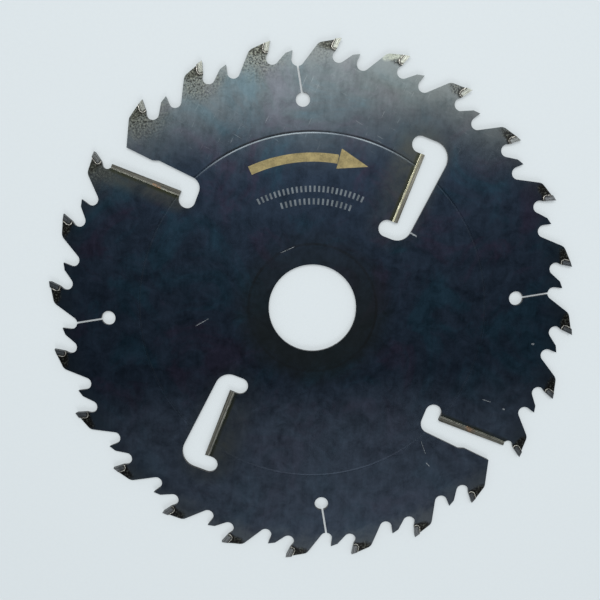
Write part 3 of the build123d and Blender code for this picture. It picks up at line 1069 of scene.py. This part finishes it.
class SAW_OT_strip_beads(bpy.types.Operator):
    """Runs a braze bead along the back of each raker strip, on both faces"""

    bl_idname = "saw.strip_beads"
    bl_label = "Strip beads"

    def execute(self, context):
        finish = context.scene.saw_braze
        material = bpy.data.materials["strip_silver_braze"]
        for name in STRIPS:
            first, last = strip_joint(name)
            start = first.lerp(last, STRIP_BARE_END)
            route = []
            for step in range(1, STRIP_STEPS + 1):
                share = STRIP_BARE_END + (1 - 2 * STRIP_BARE_END) * step / STRIP_STEPS
                growth = 1 + STRIP_SWELL * sin(STRIP_SWELL_TURN * step)
                route.append((first.lerp(last, share), 0, growth))
            reach = finish.strip_reach / MM
            bead = run_bead(start, strip_heading(name), route, reach, finish.height / MM)
            rounded_bead(bead, *STRIP_LUMPS)
            settled(bead, name.format("bead"), material)
        return {"FINISHED"}


class SAW_OT_arrow(bpy.types.Operator):
    """Etches a curved arrow that shows which way the blade turns"""

    bl_idname = "saw.arrow"
    bl_label = "Rotation arrow"

    def execute(self, context):
        finish = context.scene.saw_marks
        radius = finish.radius / MM
        shaft = flat_patch(1.0, finish.width / MM, radius, ARROW_TAIL)
        select_ahead(shaft, way(ARROW_TAIL) * radius, way(ARROW_TAIL + 90))
        bpy.ops.mesh.delete(type="VERT")
        bpy.ops.mesh.select_all(action="SELECT")
        spun(ARROW_TAIL, ARROW_NECK, ARROW_STEPS)

        # The head stands clear of the shaft, as in a stencil
        middle = (HEAD_BACK + HEAD_POINT) / 2
        length = radians(HEAD_BACK - HEAD_POINT) * radius
        head = flat_patch(length, finish.head / MM, radius, middle)
        select_ahead(head, way(middle) * radius, way(middle - 90))
        bpy.ops.mesh.merge(type="CENTER")
        bpy.ops.object.mode_set(mode="OBJECT")
        joined(shaft)
        etched(shaft, "rotation_arrow", etched_layer("gold_etching", finish.gold), finish.thickness)
        return {"FINISHED"}


class SAW_OT_ticks(bpy.types.Operator):
    """Etches two rows of plain ticks below the arrow"""

    bl_idname = "saw.ticks"
    bl_label = "Tick rows"

    def execute(self, context):
        finish = context.scene.saw_marks
        material = etched_layer("grey_etching", finish.grey)
        for name, radius, start, end, gaps in TICK_ROWS:
            row = flat_patch(finish.tick / MM, TICK_LENGTH, radius, start)
            edit_all()
            spun(start, end, gaps, copies=True)
            etched(row, name, material, finish.thickness)
        return {"FINISHED"}


class SAW_OT_studio(bpy.types.Operator):
    """Sets the floor, the light and the camera"""

    bl_idname = "saw.studio"
    bl_label = "Studio"

    def execute(self, context):
        settings = context.scene.saw_studio
        bpy.ops.mesh.primitive_plane_add(size=FLOOR_SIZE, location=(0, 0, CAD_BOX[0].z))
        floor = bpy.context.object
        floor.name = "studio_floor"
        bpy.ops.object.transform_apply()
        floor.data.materials.append(matt_paper(settings))
        context.scene.world = studio_world(settings)

        powers = (settings.key_power, settings.low_power)
        for (name, place, width, depth), power in zip(LAMPS, powers):
            lamp = bpy.data.lights.new(name, "AREA")
            lamp.shape = "ELLIPSE"
            lamp.size = width
            lamp.size_y = depth
            lamp.energy = power
            holder = bpy.data.objects.new(name, lamp)
            context.scene.collection.objects.link(holder)
            holder.location = place
            holder.rotation_euler = Vector(place).to_track_quat("Z", "Y").to_euler()

        lens = bpy.data.cameras.new("studio_camera")
        lens.sensor_width = SENSOR_WIDTH
        lens.lens = settings.lens
        camera = bpy.data.objects.new("studio_camera", lens)
        context.scene.collection.objects.link(camera)
        camera.location = Vector(CAMERA_PLACE) * MM
        camera.rotation_euler = [radians(turn) for turn in CAMERA_TURN]
        context.scene.camera = camera
        context.scene.view_settings.view_transform = "Standard"
        return {"FINISHED"}


class SAW_PT_panel(bpy.types.Panel):
    """Lists the blade's pieces and finishes"""

    bl_idname = "SAW_PT_panel"
    bl_label = "Saw blade"
    bl_space_type = "VIEW_3D"
    bl_region_type = "UI"
    bl_category = "Saw blade"

    def draw(self, context):
        for operator in OPERATORS:
            self.layout.operator(operator.bl_idname)
        for group in SETTINGS:
            box = self.layout.box()
            settings = getattr(context.scene, group)
            for name in settings.bl_rna.properties.keys():
                if name not in ("name", "rna_type"):
                    box.prop(settings, name)


OPERATORS = (
    SAW_OT_plate,
    SAW_OT_carbide,
    SAW_OT_braze,
    SAW_OT_tip_beads,
    SAW_OT_strip_beads,
    SAW_OT_arrow,
    SAW_OT_ticks,
    SAW_OT_studio,
)
SETTINGS = {
    "saw_plate": PlateFinish,
    "saw_carbide": CarbideFinish,
    "saw_braze": BrazeFinish,
    "saw_marks": MarkFinish,
    "saw_studio": StudioSettings,
}


def register():
    for group in (*SETTINGS.values(), *OPERATORS, SAW_PT_panel):
        bpy.utils.register_class(group)
    for name, group in SETTINGS.items():
        setattr(bpy.types.Scene, name, bpy.props.PointerProperty(type=group))


def unregister():
    for name in SETTINGS:
        delattr(bpy.types.Scene, name)
    for group in reversed((*SETTINGS.values(), *OPERATORS, SAW_PT_panel)):
        bpy.utils.unregister_class(group)


def main():
    register()
    for operator in OPERATORS:
        bpy.ops.object.select_all(action="DESELECT")
        getattr(bpy.ops.saw, operator.bl_idname.split(".")[1])()


if __name__ == "__main__":
    main()
